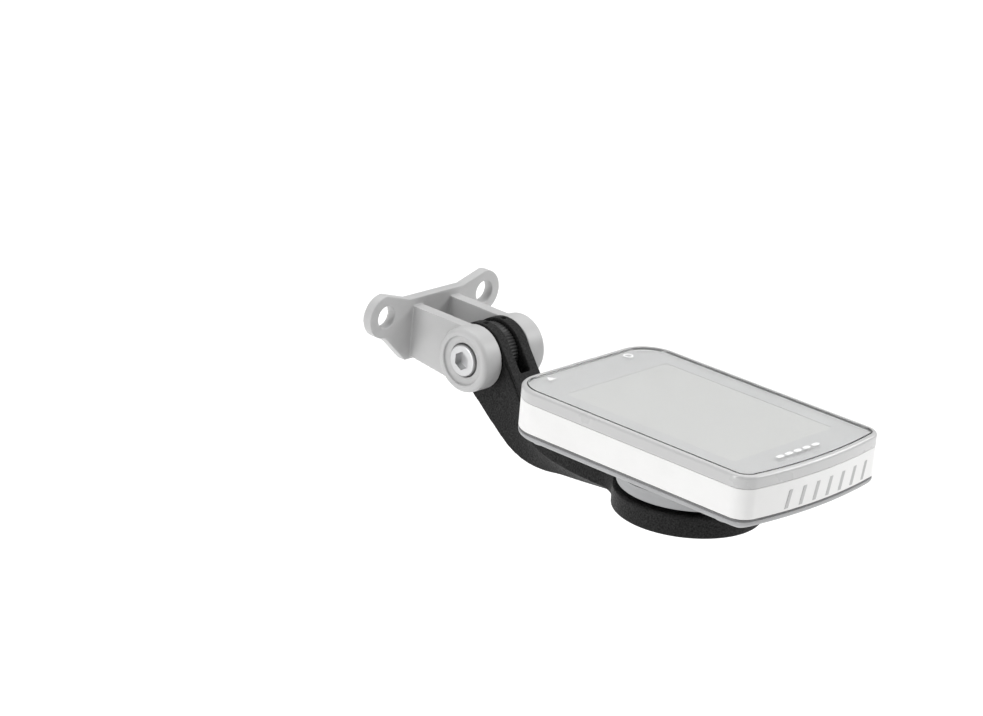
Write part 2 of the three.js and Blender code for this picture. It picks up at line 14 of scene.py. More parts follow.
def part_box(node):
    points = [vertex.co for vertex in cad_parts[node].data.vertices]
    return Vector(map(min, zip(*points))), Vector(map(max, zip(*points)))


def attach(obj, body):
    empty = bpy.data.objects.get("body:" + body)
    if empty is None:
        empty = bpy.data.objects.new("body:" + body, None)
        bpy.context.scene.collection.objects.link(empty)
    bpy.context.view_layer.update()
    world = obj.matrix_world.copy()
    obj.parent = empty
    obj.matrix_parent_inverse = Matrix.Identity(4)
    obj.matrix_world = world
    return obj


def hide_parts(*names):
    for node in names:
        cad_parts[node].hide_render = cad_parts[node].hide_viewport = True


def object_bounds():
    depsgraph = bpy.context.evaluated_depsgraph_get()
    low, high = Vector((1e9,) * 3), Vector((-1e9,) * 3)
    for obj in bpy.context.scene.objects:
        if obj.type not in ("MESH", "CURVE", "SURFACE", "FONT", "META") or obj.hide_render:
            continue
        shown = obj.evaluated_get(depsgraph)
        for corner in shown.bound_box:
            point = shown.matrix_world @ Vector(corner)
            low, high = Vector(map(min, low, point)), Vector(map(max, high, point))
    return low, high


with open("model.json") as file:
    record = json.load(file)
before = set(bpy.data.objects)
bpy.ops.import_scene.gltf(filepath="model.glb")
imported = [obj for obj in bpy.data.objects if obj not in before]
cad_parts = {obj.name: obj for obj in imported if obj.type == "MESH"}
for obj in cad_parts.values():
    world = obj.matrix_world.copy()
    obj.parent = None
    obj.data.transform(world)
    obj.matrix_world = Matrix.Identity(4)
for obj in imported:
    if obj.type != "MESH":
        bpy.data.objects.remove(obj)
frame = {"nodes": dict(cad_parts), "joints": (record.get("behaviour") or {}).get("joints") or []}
CAD_BOX = [list(corner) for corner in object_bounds()]

MM = 0.001
JOINTS = {joint["name"]: joint for joint in frame["joints"]}
ORIGIN = Vector((0, 0, 0))
HINGE = Vector(JOINTS["arm_tilt"]["pos_m"])
SOCKET = Vector(JOINTS["computer_twist"]["pos_m"])
QUARTER = math.pi / 2


def reach(node, corner, axis=2, about=SOCKET):
    """A CAD node's low (0) or high (1) coordinate along an axis, in millimetres from a point."""
    return (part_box(node)[corner][axis] - about[axis]) / MM


def middle(node, axis):
    """The middle of a CAD node along an axis, in millimetres from the socket."""
    return (reach(node, 0, axis) + reach(node, 1, axis)) / 2


def hinge_spot(about):
    """The hinge's Y and Z, in millimetres from a point."""
    return (HINGE - about).y / MM, (HINGE - about).z / MM


# ---- the computer's sizes, in millimetres; the outer ones come from the frame --------------------
FACE = reach("cover_glass", 1)
BAND_TOP = reach("mid_band", 1)
BAND_BOTTOM = reach("mid_band", 0)
HALF_WIDTH = reach("mid_band", 1, axis=0)
REAR = reach("front_bezel", 0, axis=1)
BOW = 2.4
FRONT_CORNER = reach("front_bezel", 1, axis=1) - BOW
BOW_RADIUS = (HALF_WIDTH ** 2 + BOW ** 2) / (2 * BOW)
BOW_Y = FRONT_CORNER + BOW - BOW_RADIUS
REAR_RADIUS = 8.5
FRONT_RADIUS = 4.5
LEAST_RADIUS = 1
WALL = 1.8
# The gap that shows as a line between the band and the bezel.
SEAM = 0.06
GLASS_THICKNESS = 1.3
DISPLAY_HALF = 17.6
DISPLAY_REAR = -24.6
DISPLAY_FRONT = 25.4
BUTTON_X = middle("start_button", 0)
BUTTON_Z = middle("start_button", 2)
POWER_Y = middle("power_button", 1)
USB_Z = reach("usb_receptacle", 0) + 1.3
PEDESTAL_LOW = 0.9
PEDESTAL_RADIUS = 17

# ---- the mount's sizes, in millimetres and degrees -----------------------------------------------
RING_RADIUS = 17.65
RING_HEIGHT = 5.34
RING_EDGE = 0.4
LIP_RADIUS = 13.2
LIP_THICKNESS = 1.3
CHAMBER_RADIUS = 15.5
SOCKET_FLOOR = -4.19
NOTCH_INNER = 8
NOTCH_HALF_ANGLE = 28
FLARE_RADIUS = 9
ARM_HALF_WIDTH = 6
EAR_RADIUS = 8.2
EAR_HALF_WIDTH = 4.55
SLOT_HALF_WIDTH = 1.65
SLOT_RADIUS = 11.2
BORE = 2.75
WEB_INNER = 4.9
WEB_OUTER = 8.0
BOSS_OUTER = 10.6
BOSS_RADIUS = 7.9
BOSS_EDGE = 1.2
# How far cutters run to the left and right, and below the ring, so that they go right through.
SIDEWAYS = 12
BELOW = -8


# ---- mesh helpers --------------------------------------------------------------------------------
def new_piece(name, mesh):
    piece = bpy.data.objects.new(name, mesh)
    bpy.context.scene.collection.objects.link(piece)
    return piece


def solid(name, rings, closed=False):
    """A skin over rings of points, with its ends capped, or joined to each other if closed."""
    count, total = len(rings[0]), len(rings)
    faces = []
    for k in range(total if closed else total - 1):
        low, high = k * count, (k + 1) % total * count
        for i in range(count):
            j = (i + 1) % count
            faces.append((low + i, low + j, high + j, high + i))
    if not closed:
        faces.append(tuple(reversed(range(count))))
        faces.append(tuple(range((total - 1) * count, total * count)))
    mesh = bpy.data.meshes.new(name)
    mesh.from_pydata([tuple(p) for ring in rings for p in ring], [], faces)
    work = bmesh.new()
    work.from_mesh(mesh)
    bmesh.ops.recalc_face_normals(work, faces=work.faces)
    work.to_mesh(mesh)
    work.free()
    return new_piece(name, mesh)


def arc(cx, cy, radius, start, end, steps):
    """Points along an arc about (cx, cy), from one angle to another."""
    angles = [start + (end - start) * i / steps for i in range(steps + 1)]
    return [(cx + radius * math.cos(a), cy + radius * math.sin(a)) for a in angles]


def slab(outline, low, high):
    """An outline in X and Y, run along Z."""
    return solid("slab", [[(x, y, z) for x, y in outline] for z in (low, high)])


def turned(profile, steps=96):
    """A solid of revolution about Z, from (radius, height) points."""
    turns = [2 * math.pi * i / steps for i in range(steps)]
    rings = [[(r * math.cos(a), r * math.sin(a), z) for a in turns] for r, z in profile]
    return solid("turned", rings)


def disc(radius, low, high, at=(0, 0), steps=64):
    """A round solid with flat ends, upright at a point in X and Y."""
    return shift(turned([(radius, low), (radius, high)], steps), at[0], at[1], 0)


def block(low, high):
    """A box between two opposite corners."""
    outline = [(low[0], low[1]), (high[0], low[1]), (high[0], high[1]), (low[0], high[1])]
    return slab(outline, low[2], high[2])


def rounded(width, height, radius, steps=10):
    """The outline of a rectangle with round corners."""
    w, h = width / 2 - radius, height / 2 - radius
    outline = []
    for k, (x, y) in enumerate([(w, h), (-w, h), (-w, -h), (w, -h)]):
        outline += arc(x, y, radius, k * QUARTER, (k + 1) * QUARTER, steps)
    return outline


def sector(inner, outer, centre, half, low, high):
    """Part of a ring, half as many degrees to each side of its centre's direction."""
    start, end = math.radians(centre - half), math.radians(centre + half)
    outline = arc(0, 0, outer, start, end, steps=24) + arc(0, 0, inner, end, start, steps=16)
    return slab(outline, low, high)


def hexagon(flats):
    """A hexagon's outline, from its width across flats."""
    return arc(0, 0, flats / math.sqrt(3), 0, 5 * math.pi / 3, steps=5)


def shift(piece, x, y, z):
    piece.data.transform(Matrix.Translation((x, y, z)))
    return piece


def turn(piece, angle, axis):
    piece.data.transform(Matrix.Rotation(angle, 4, axis))
    return piece


def lying(piece, y=0, z=0):
    """Lays a piece that stands along Z down along X, through a point in Y and Z."""
    return shift(turn(piece, QUARTER, "Y"), 0, y, z)


def facing_rider(piece):
    """Lays a piece that stands along Z down along Y, with its top towards the rider."""
    return turn(piece, QUARTER, "X")


def remove(piece):
    mesh = piece.data
    bpy.data.objects.remove(piece)
    bpy.data.meshes.remove(mesh)


def merge(pieces):
    """Joins separate meshes into one piece, with no boolean."""
    work = bmesh.new()
    for piece in pieces:
        work.from_mesh(piece.data)
        remove(piece)
    mesh = bpy.data.meshes.new("merged")
    work.to_mesh(mesh)
    work.free()
    return new_piece("merged", mesh)


def bake(piece):
    """Applies the piece's modifiers to its mesh."""
    graph = bpy.context.evaluated_depsgraph_get()
    mesh = bpy.data.meshes.new_from_object(piece.evaluated_get(graph))
    old = piece.data
    piece.modifiers.clear()
    piece.data = mesh
    bpy.data.meshes.remove(old)
    return piece


def combine(piece, operation, tools):
    """Applies a boolean with each tool in turn, and removes the tools."""
    for tool in tools:
        modifier = piece.modifiers.new("boolean", "BOOLEAN")
        modifier.object = tool
        modifier.operation = operation
        modifier.solver = "EXACT"
        bake(piece)
        remove(tool)
    return piece


def add(piece, *tools):
    return combine(piece, "UNION", tools)


def cut(piece, *tools):
    return combine(piece, "DIFFERENCE", tools)


def connected_part(left):
    """Takes one vertex and all that are joined to it out of the vertices left."""
    part, waiting = set(), [left.pop()]
    while waiting:
        vert = waiting.pop()
        part.add(vert)
        near = [link.other_vert(vert) for link in vert.link_edges]
        fresh = [other for other in near if other in left]
        left.difference_update(fresh)
        waiting.extend(fresh)
    return part


def largest_part(piece):
    """Drops the crumbs that booleans and a remesh can leave beside the part itself."""
    work = bmesh.new()
    work.from_mesh(piece.data)
    left, parts = set(work.verts), []
    while left:
        parts.append(connected_part(left))
    biggest = max(parts, key=len)
    bmesh.ops.delete(work, geom=[v for v in work.verts if v not in biggest], context="VERTS")
    work.to_mesh(piece.data)
    work.free()
    return piece


def soften(piece, voxel, rounds, keep):
    """Rounds every edge a little, as on a moulding or a casting, and keeps a share of the faces."""
    remesh = piece.modifiers.new("remesh", "REMESH")
    remesh.mode = "VOXEL"
    remesh.voxel_size = voxel
    smooth = piece.modifiers.new("smooth", "SMOOTH")
    smooth.factor = 0.5
    smooth.iterations = rounds
    decimate = piece.modifiers.new("decimate", "DECIMATE")
    decimate.ratio = keep
    return largest_part(bake(piece))


def bevel(piece, width, segments=3, angle=35):
    """Rounds the edges that turn by more than an angle."""
    modifier = piece.modifiers.new("bevel", "BEVEL")
    modifier.width = width
    modifier.segments = segments
    modifier.limit_method = "ANGLE"
    modifier.angle_limit = math.radians(angle)
    return bake(piece)


def shade(piece, smooth):
    """Smooth shading up to an angle, with big flat faces kept flat beside their rounded edges."""
    piece.data.shade_smooth()
    piece.data.set_sharp_from_angle(angle=math.radians(smooth))
    modifier = piece.modifiers.new("normals", "WEIGHTED_NORMAL")
    modifier.keep_sharp = True
    modifier.weight = 50
    return bake(piece)


def place(piece, name, about, body, material, nodes=(), smooth=30):
    """Puts a piece drawn in millimetres about a point into the frame, on its body."""
    piece.data.transform(Matrix.Translation(about) @ Matrix.Scale(MM, 4))
    shade(piece, smooth)
    piece.name = name
    piece.data.name = name
    piece.data.materials.clear()
    piece.data.materials.append(material)
    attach(piece, body)
    if nodes:
        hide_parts(*nodes)
    return piece


# ---- outlines ------------------------------------------------------------------------------------
def case_outline(inset, steps=14):
    """The computer's outline seen from above, pulled in all round by inset."""
    half, rear = HALF_WIDTH - inset, REAR + inset
    bow = BOW_RADIUS - inset
    rear_radius = max(REAR_RADIUS - inset, LEAST_RADIUS)
    front_radius = max(FRONT_RADIUS - inset, LEAST_RADIUS)
    cx = half - front_radius
    cy = BOW_Y + math.sqrt((bow - front_radius) ** 2 - cx ** 2)
    swing = math.atan2(cy - BOW_Y, cx)
    return [
        *arc(half - rear_radius, rear + rear_radius, rear_radius, -QUARTER, 0, steps),
        *arc(cx, cy, front_radius, 0, swing, steps),
        *arc(0, BOW_Y, bow, swing, math.pi - swing, 2 * steps)[1:-1],
        *arc(-cx, cy, front_radius, math.pi - swing, math.pi, steps),
        *arc(rear_radius - half, rear + rear_radius, rear_radius, math.pi, 3 * QUARTER, steps),
    ]


def front_y(x):
    """How far forward the bowed front wall is at x."""
    return BOW_Y + math.sqrt(BOW_RADIUS ** 2 - x ** 2)


def case_ring(inset, z):
    """The case's outline at a height, as points in space."""
    return [(x, y, z) for x, y in case_outline(inset)]


def case_body(levels):
    """A body with the case's outline, from (inset, height) levels, low to high."""
    return solid("case_body", [case_ring(inset, z) for inset, z in levels])


def case_frame(profile):
    """A frame that follows the case's outline, with a closed profile of (inset, height)."""
    return solid("case_frame", [case_ring(inset, z) for inset, z in profile], closed=True)


def edge(inset, z, radius, start, end, steps):
    """Profile points of a rounded edge; angle 0 points outwards and a quarter points up."""
    return [(inset - x, z + y) for x, y in arc(0, 0, radius, start, end, steps)]


def along(rows, t):
    """A smooth curve through rows of numbers, at t from 0 to 1."""
    spot = t * (len(rows) - 1)
    k = min(int(spot), len(rows) - 2)
    u = spot - k
    a, b, c, d = (rows[min(max(k + i, 0), len(rows) - 1)] for i in (-1, 0, 1, 2))
    return [0.5 * (2 * q + (r - p) * u + (2 * p - 5 * q + 4 * r - s) * u ** 2
                   + (3 * q - p - 3 * r + s) * u ** 3) for p, q, r, s in zip(a, b, c, d)]


# ---- materials -----------------------------------------------------------------------------------
# Noise seldom leaves this range, so what follows the noise is spread over it.
NOISE_LOW = 0.3
NOISE_HIGH = 0.7
COAT_ROUGHNESS = 0.12
# The size in millimetres of the broad, faint variation over a moulding and over a metal part.
MOULDING_LUMPS = 9
METAL_LUMPS = 4


def new_material(name, colour, roughness, metallic=0.0, coat=0.0, specular=0.5):
    material = bpy.data.materials.new(name)
    material.use_nodes = True
    shader = material.node_tree.nodes["Principled BSDF"]
    shader.inputs["Base Color"].default_value = (*colour, 1)
    shader.inputs["Roughness"].default_value = roughness
    shader.inputs["Metallic"].default_value = metallic
    shader.inputs["Coat Weight"].default_value = coat
    shader.inputs["Coat Roughness"].default_value = COAT_ROUGHNESS
    shader.inputs["Specular IOR Level"].default_value = specular
    return material, shader


def noise(tree, grain, detail=3.0):
    """Noise in the object's own space, with lumps about grain millimetres across."""
    coordinates = tree.nodes.new("ShaderNodeTexCoord")
    texture = tree.nodes.new("ShaderNodeTexNoise")
    texture.inputs["Scale"].default_value = 1 / (grain * MM)
    texture.inputs["Detail"].default_value = detail
    tree.links.new(coordinates.outputs["Object"], texture.inputs["Vector"])
    return texture.outputs["Fac"]


def add_sheen(tree, shader, source, low, high):
    """Lets the roughness follow the noise from low to high."""
    node = tree.nodes.new("ShaderNodeMapRange")
    node.inputs["From Min"].default_value = NOISE_LOW
    node.inputs["From Max"].default_value = NOISE_HIGH
    node.inputs["To Min"].default_value = low
    node.inputs["To Max"].default_value = high
    tree.links.new(source, node.inputs["Value"])
    tree.links.new(node.outputs["Result"], shader.inputs["Roughness"])


def add_bump(tree, shader, source, height):
    """Raises the surface with the noise, by up to a height in millimetres."""
    node = tree.nodes.new("ShaderNodeBump")
    node.inputs["Distance"].default_value = height * MM
    tree.links.new(source, node.inputs["Height"])
    tree.links.new(node.outputs["Normal"], shader.inputs["Normal"])


def add_variation(tree, shader, source, dark, light):
    """Lets the colour follow the noise from dark to light."""
    node = tree.nodes.new("ShaderNodeValToRGB")
    node.color_ramp.elements[0].position = NOISE_LOW
    node.color_ramp.elements[1].position = NOISE_HIGH
    node.color_ramp.elements[0].color = (*dark, 1)
    node.color_ramp.elements[1].color = (*light, 1)
    tree.links.new(source, node.inputs["Fac"])
    tree.links.new(node.outputs["Color"], shader.inputs["Base Color"])


def moulded(name, dark, light, roughness, grain, height, coat=0.0, specular=0.5):
    """A moulded or printed surface with a fine grain and a slightly uneven sheen."""
    material, shader = new_material(name, light, roughness, coat=coat, specular=specular)
    tree = material.node_tree
    broad = noise(tree, MOULDING_LUMPS)
    add_bump(tree, shader, noise(tree, grain), height)
    add_variation(tree, shader, broad, dark, light)
    add_sheen(tree, shader, broad, roughness - 0.05, roughness + 0.06)
    return material


def speckled(name, dark, light, roughness, grain, height, specular):
    """Glass-filled nylon: a coarse matte grain whose high spots are paler and shinier."""
    material, shader = new_material(name, light, roughness, specular=specular)
    tree = material.node_tree
    fine = noise(tree, grain, detail=5.0)
    add_bump(tree, shader, fine, height)
    add_variation(tree, shader, fine, dark, light)
    add_sheen(tree, shader, fine, roughness + 0.1, roughness - 0.1)
    return material


def metal(name, colour, roughness, grain, height):
    """Bare metal with a fine grain and a slightly uneven sheen."""
    material, shader = new_material(name, colour, roughness, metallic=1.0)
    tree = material.node_tree
    add_bump(tree, shader, noise(tree, grain), height)
    add_sheen(tree, shader, noise(tree, METAL_LUMPS), roughness - 0.06, roughness + 0.08)
    return material


def clear_glass():
    material, shader = new_material("clear_glass", (0.985, 0.99, 0.99), roughness=0.03)
    shader.inputs["Transmission Weight"].default_value = 1.0
    shader.inputs["IOR"].default_value = 1.45
    return material


def grey(value):
    return (value, value, value)


# Each finish: its name, its colours, its roughness, and its grain's size and height in millimetres.
NYLON = speckled("black_nylon", grey(0.001), grey(0.024), 0.5, 0.36, 0.14, specular=0.11)
# The hub's nylon is painted lighter than the arm's: a painted highlight that makes up for the shade the
# hub sits in between the ears.
HUB_PAINTED_LIGHTER = speckled("hub_nylon", grey(0.012), grey(0.03), 0.45, 0.25, 0.02, specular=0.3)
ALLOY = moulded("bracket_grey", grey(0.41), grey(0.45), 0.42, 0.25, 0.012)
STEEL = metal("bolt_steel", (0.55, 0.552, 0.557), 0.42, 0.2, 0.006)
BEZEL = moulded("bezel_grey", grey(0.447), grey(0.453), 0.3, 2.0, 0.001, coat=0.6)
BORDER = moulded("border_print", grey(0.88), grey(0.90), 0.5, 1.5, 0.002)
DISPLAY = moulded("display_film", (0.94, 0.941, 0.925), (0.96, 0.961, 0.945), 0.35, 1.0, 0.002)
GLASS = clear_glass()
BAND = moulded("band_silver", (0.70, 0.698, 0.692), (0.73, 0.728, 0.722), 0.38, 0.6, 0.004)
SHELL = moulded("shell_grey", (0.30, 0.302, 0.307), (0.34, 0.342, 0.347), 0.5, 0.35, 0.02)
RUBBER = moulded("black_rubber", grey(0.012), grey(0.022), 0.75, 0.5, 0.02, specular=0.3)
BUTTON = moulded("button_rubber", (0.20, 0.202, 0.205), (0.24, 0.242, 0.245), 0.55, 0.4, 0.015)
BOARD = moulded("green_board", (0.01, 0.09, 0.04), (0.015, 0.12, 0.05), 0.4, 0.8, 0.01)
CERAMIC = moulded("patch_ceramic", (0.55, 0.47, 0.33), (0.62, 0.54, 0.40), 0.6, 0.4, 0.01)
POUCH = metal("battery_foil", (0.68, 0.70, 0.72), 0.35, 1.2, 0.02)
MARK = moulded("mark_grey", grey(0.40), grey(0.44), 0.45, 0.5, 0.002)
ICON = moulded("icon_white", grey(0.85), grey(0.9), 0.4, 0.5, 0.002)


# ---- mount arm -----------------------------------------------------------------------------------
# From the hinge to the ring: the top line and the bottom line in Y and Z, the half widths at
# the top and the bottom, and how deep the upright upper wall is.
STATIONS = [
    (-57.5, 18.4, -69.3, 7.1, 4.55, 4.55, 0.6),
    (-54.9, 14.8, -63.5, 2.4, 4.55, 4.5, 0.6),
    (-52.4, 11.4, -57.8, -2.3, 4.6, 4.3, 1.0),
    (-50.3, 8.8, -53.0, -6.0, 4.8, 4.0, 2.6),
    (-48.2, 6.2, -49.2, -7.9, 5.1, 3.7, 4.3),
    (-46.2, 4.2, -45.4, -8.8, 5.4, 3.4, 5.3),
    (-43, 2.3, -41, -8.88, 5.7, 3.2, 5.4),
    (-38, 0.9, -36, -8.2, 5.9, 3.2, 5.3),
    (-31, 0.2, -29.5, -7.6, 6, 3.4, 5.3),
    (-24, 0, -22.5, -6.6, 6, 4.2, 5.3),
    (-16, 0, -16, -5.34, 6, 5.6, 5),
]
# The fine groove that runs along each side just under the top edge, in a wall that is at least
# a margin deeper than the groove.
GROOVE_START = 0.5
GROOVE_WIDTH = 0.5
GROOVE_DEPTH = 0.5
GROOVE_SLOPE = 0.1
GROOVE_MARGIN = 0.4


def beam_side(row):
    """One side of the arm's section, from the top edge to the bottom edge."""
    top_y, top_z, low_y, low_z, half_top, half_low, wall = row
    length = math.hypot(top_y - low_y, top_z - low_z)
    groove_floor = half_top - GROOVE_DEPTH
    groove_end = GROOVE_START + GROOVE_WIDTH
    levels = [(half_top, 0), (half_top, GROOVE_START), (groove_floor, GROOVE_START + GROOVE_SLOPE),
              (groove_floor, groove_end), (half_top, groove_end + GROOVE_SLOPE),
              (half_top, max(wall, groove_end + GROOVE_MARGIN)), (half_low, length)]
    return [(x, top_y + (low_y - top_y) * down / length, top_z + (low_z - top_z) * down / length)
            for x, down in levels]


def arm_beam(steps=90):
    """The curved arm between the hinge and the ring."""
    rings = []
    for i in range(steps + 1):
        right = beam_side(along(STATIONS, i / steps))
        rings.append(right + [(-x, y, z) for x, y, z in reversed(right)])
    return solid("arm_beam", rings)


def ring_flare():
    """The fillets that carry the arm's sides into the ring, and the arm's width between them."""
    inside, overlap, steps = -5, 3, 32
    cx = ARM_HALF_WIDTH + FLARE_RADIUS
    cy = -math.sqrt((RING_RADIUS + FLARE_RADIUS) ** 2 - cx ** 2)
    swing = math.atan2(-cy, -cx)
    outline = [(0, inside), (-ARM_HALF_WIDTH, inside),
               *arc(-cx, cy, FLARE_RADIUS, math.pi - swing, 0, steps),
               (-ARM_HALF_WIDTH, cy - overlap), (ARM_HALF_WIDTH, cy - overlap),
               *arc(cx, cy, FLARE_RADIUS, math.pi, swing, steps), (ARM_HALF_WIDTH, inside)]
    return slab(outline, -RING_HEIGHT, 0)


def chamber_cuts():
    """The socket's mouth, the wider chamber under its lip, and the notches that let the foot in."""
    above, steps = 1, 144
    mouth = disc(LIP_RADIUS, SOCKET_FLOOR, above, steps=steps)
    chamber = disc(CHAMBER_RADIUS, SOCKET_FLOOR, -LIP_THICKNESS, steps=steps)
    notches = [sector(NOTCH_INNER, CHAMBER_RADIUS, side, NOTCH_HALF_ANGLE, SOCKET_FLOOR, above)
               for side in (90, -90)]
    return [mouth, chamber, *notches]


def floor_cuts():
    """The openings beside each finger and the two drain holes, all through the socket's floor."""
    inner, half_angle, swing = 8.5, 15, 25
    drain_radius, drain_x, drain_y = 1, 2.3, -3.1
    openings = [sector(inner, CHAMBER_RADIUS, angle, half_angle, BELOW, SOCKET_FLOOR + 1)
                for side in (0, 180) for angle in (side - swing, side + swing)]
    drains = [disc(drain_radius, BELOW, 0, at=(side * drain_x, side * drain_y), steps=32)
              for side in (1, -1)]
    return [*openings, *drains]


def detent_finger(side):
    """A tapered spring finger on the socket's floor, out to the chamber's wall."""
    inner, inner_half, outer_half = 5.5, 0.8, 1.9
    sunk, raised = 0.5, 0.8
    outer = CHAMBER_RADIUS + 0.5
    outline = [(inner, -inner_half), (outer, -outer_half), (outer, outer_half), (inner, inner_half)]
    finger = slab(outline, SOCKET_FLOOR - sunk, SOCKET_FLOOR + raised)
    return turn(finger, 0 if side > 0 else math.pi, "Z")


def groove_ring(radius, width, depth):
    """A shallow ring groove's cutter, about Z, sunk depth below the plane z = 0."""
    above = 2
    outer = disc(radius, -depth, above)
    core = disc(radius - width, -depth - 1, above + 1)
    return cut(outer, core)


def on_arm_top(mark, slope, spot):
    """Lays a mark's cutter on the arm's top, where that slopes by some degrees."""
    return shift(turn(mark, math.radians(slope), "X"), *spot)


def mould_marks():
    """Two round marks and a dash that the mould leaves on the arm's top."""
    steep, gentle = -42, -12
    width, depth = 0.4, 0.3
    dash = block((-0.9, -0.35, -depth), (0.9, 0.35, 2))
    return [on_arm_top(groove_ring(1.95, width, depth), steep, (0, -45.45, 3.75)),
            on_arm_top(groove_ring(1.5, width, depth), gentle, (0.5, -36.2, 0.72)),
            on_arm_top(dash, gentle, (-3.1, -34.6, 0.6))]


def ear_pockets():
    """A small pocket in the top of each ear."""
    middle_x, half_x, half_y, depth, above = 3.1, 0.6, 0.5, 0.8, 12
    y, z = hinge_spot(SOCKET)
    floor = z + EAR_RADIUS - depth
    return [block((x - half_x, y - half_y, floor), (x + half_x, y + half_y, z + above))
            for x in (middle_x, -middle_x)]


def underside_cuts():
    """Shallow coring in the ring's underside, round the middle."""
    inner, outer, half_angle, depth = 5.5, 9.5, 32, 0.6
    return [sector(inner, outer, angle, half_angle, BELOW, depth - RING_HEIGHT) for angle in (90, -90)]


def puck():
    """The solid ring that the socket is cut from, with its edges broken."""
    inner = RING_RADIUS - RING_EDGE
    return turned([(inner, -RING_HEIGHT), (RING_RADIUS, RING_EDGE - RING_HEIGHT),
                   (RING_RADIUS, -RING_EDGE), (inner, 0)], 180)


def mount_arm():
    y, z = hinge_spot(SOCKET)
    ears = disc(EAR_RADIUS, -EAR_HALF_WIDTH, EAR_HALF_WIDTH, steps=128)
    slot = disc(SLOT_RADIUS, -SLOT_HALF_WIDTH, SLOT_HALF_WIDTH, steps=128)
    bore = disc(BORE, -6, 6)
    arm = add(puck(), ring_flare(), arm_beam(), lying(ears, y, z))
    cut(arm, lying(slot, y, z), lying(bore, y, z), *chamber_cuts(), *floor_cuts(),
        *mould_marks(), *ear_pockets(), *underside_cuts())
    add(arm, detent_finger(1), detent_finger(-1))
    soften(arm, voxel=0.18, rounds=2, keep=0.45)
    return place(arm, "mount_arm_moulding", SOCKET, "arm", NYLON,
                 ["mount_arm"], smooth=50)


# ---- hinge and bracket ---------------------------------------------------------------------------
def pivot_hub():
    """The washer between the arm's ears, with fine flutes all round its rim."""
    flutes, depth, radius, half = 56, 0.24, 7.4, 1.35
    rim = []
    for i in range(flutes * 4):
        r, a = radius - depth / 2 + depth / 2 * math.cos(i * QUARTER), i * QUARTER / flutes
        rim.append((r * math.cos(a), r * math.sin(a)))
    hub = lying(slab(rim, -half, half))
    cut(hub, lying(disc(BORE, -3, 3)))
    # The hub wears the nylon that is painted lighter, against the shade between the ears.
    return place(hub, "pivot_hub_fluted", HINGE, "root", HUB_PAINTED_LIGHTER, ["pivot_hub"], smooth=40)


def bracket_plate():
    """The plate behind the two webs, with an eye for a stem bolt at each end."""
    eye, eye_radius, waist, top, bottom, thick = 16.9, 5.4, 9.5, 3.2, -12.5, 2.6
    outline = [*arc(eye, 0, eye_radius, -QUARTER, QUARTER, 32), (waist, top), (-waist, top),
               *arc(-eye, 0, eye_radius, QUARTER, 3 * QUARTER, 32), (-waist, bottom), (waist, bottom)]
    plate = shift(facing_rider(slab(outline, 0, thick)), 0, thick, 0)
    holes = [shift(facing_rider(disc(BORE, -5, 5)), side * eye, 0, 0) for side in (1, -1)]
    return cut(plate, *holes)


def bracket_web(side):
    """A flat web that tapers from the plate to the boss round the hinge."""
    plate_y, top, bottom, boss_half = 1, 1.2, -11.5, 7.5
    y, z = hinge_spot(ORIGIN)
    end = y - 1
    outline = [(plate_y, top), (plate_y, bottom), (end, z - boss_half), (end, z + boss_half)]
    low, high = sorted((side * WEB_INNER, side * WEB_OUTER))
    return turn(facing_rider(slab(outline, low, high)), QUARTER, "Z")


def bracket_boss(side):
    """The round boss that the hinge bolt goes through, with a rounded outer edge."""
    rim = [(BOSS_RADIUS - BOSS_EDGE + x, BOSS_OUTER - BOSS_EDGE + height)
           for x, height in arc(0, 0, BOSS_EDGE, 0, QUARTER, 8)]
    boss = turn(turned([(BOSS_RADIUS, WEB_INNER), *rim], 128), side * QUARTER, "Y")
    return shift(boss, 0, *hinge_spot(ORIGIN))


def boss_cuts():
    """The hinge's bore, the seats for the bolt's head and the nut, and a recess in each boss."""
    nut_flats, nut_floor = 8.6, -7.3
    head_radius, head_floor = 4.2, 7.7
    recess_radius, recess_floor = 6, BOSS_OUTER - 0.8
    nut_seat = slab(hexagon(nut_flats), -SIDEWAYS, nut_floor)
    recesses = [disc(recess_radius, *ends, steps=96)
                for ends in ((recess_floor, SIDEWAYS), (-SIDEWAYS, -recess_floor))]
    bore, head_seat = disc(BORE, -SIDEWAYS, SIDEWAYS), disc(head_radius, head_floor, SIDEWAYS)
    return [lying(tool, *hinge_spot(ORIGIN)) for tool in (bore, head_seat, nut_seat, *recesses)]


def stem_bracket():
    bracket = add(bracket_plate(), bracket_web(1), bracket_boss(1), bracket_web(-1), bracket_boss(-1))
    cut(bracket, *boss_cuts())
    soften(bracket, voxel=0.19, rounds=3, keep=0.4)
    return place(bracket, "stem_bracket_casting", ORIGIN, "root", ALLOY,
                 ["stem_bracket"], smooth=50)


def pivot_bolt():
    """The hinge bolt: a plain shank, and a round head with a hexagon socket."""
    shank, tip, head, under_head, top = 2.45, -10.2, 3.9, 8.0, 10.58
    socket_flats, socket_floor = 4, 8.6
    profile = [(shank - 0.45, tip), (shank, tip + 0.5), (shank, under_head), (head, under_head),
               (head, top - 0.48), (head - 0.15, top - 0.18), (head - 0.5, top)]
    bolt = lying(turned(profile))
    cut(bolt, lying(slab(hexagon(socket_flats), socket_floor, SIDEWAYS)))
    bevel(bolt, 0.12, segments=2, angle=50)
    return place(bolt, "pivot_bolt_machined", HINGE, "root", STEEL, ["pivot_bolt"])


def pivot_nut():
    flats, outer, inner = 8, -10.3, -7.6
    nut = lying(slab(hexagon(flats), outer, inner))
    cut(nut, lying(disc(BORE, -SIDEWAYS, -5)))
    bevel(nut, 0.25)
    return place(nut, "pivot_nut_machined", HINGE, "root", STEEL, ["pivot_nut"])


# ---- computer housing ----------------------------------------------------------------------------
def pill(width, height, depth):
    """A pill-shaped cutter, running a depth to each side of the wall that it goes through."""
    return slab(rounded(width, height, min(width, height) / 2 - 0.1), -depth, depth)


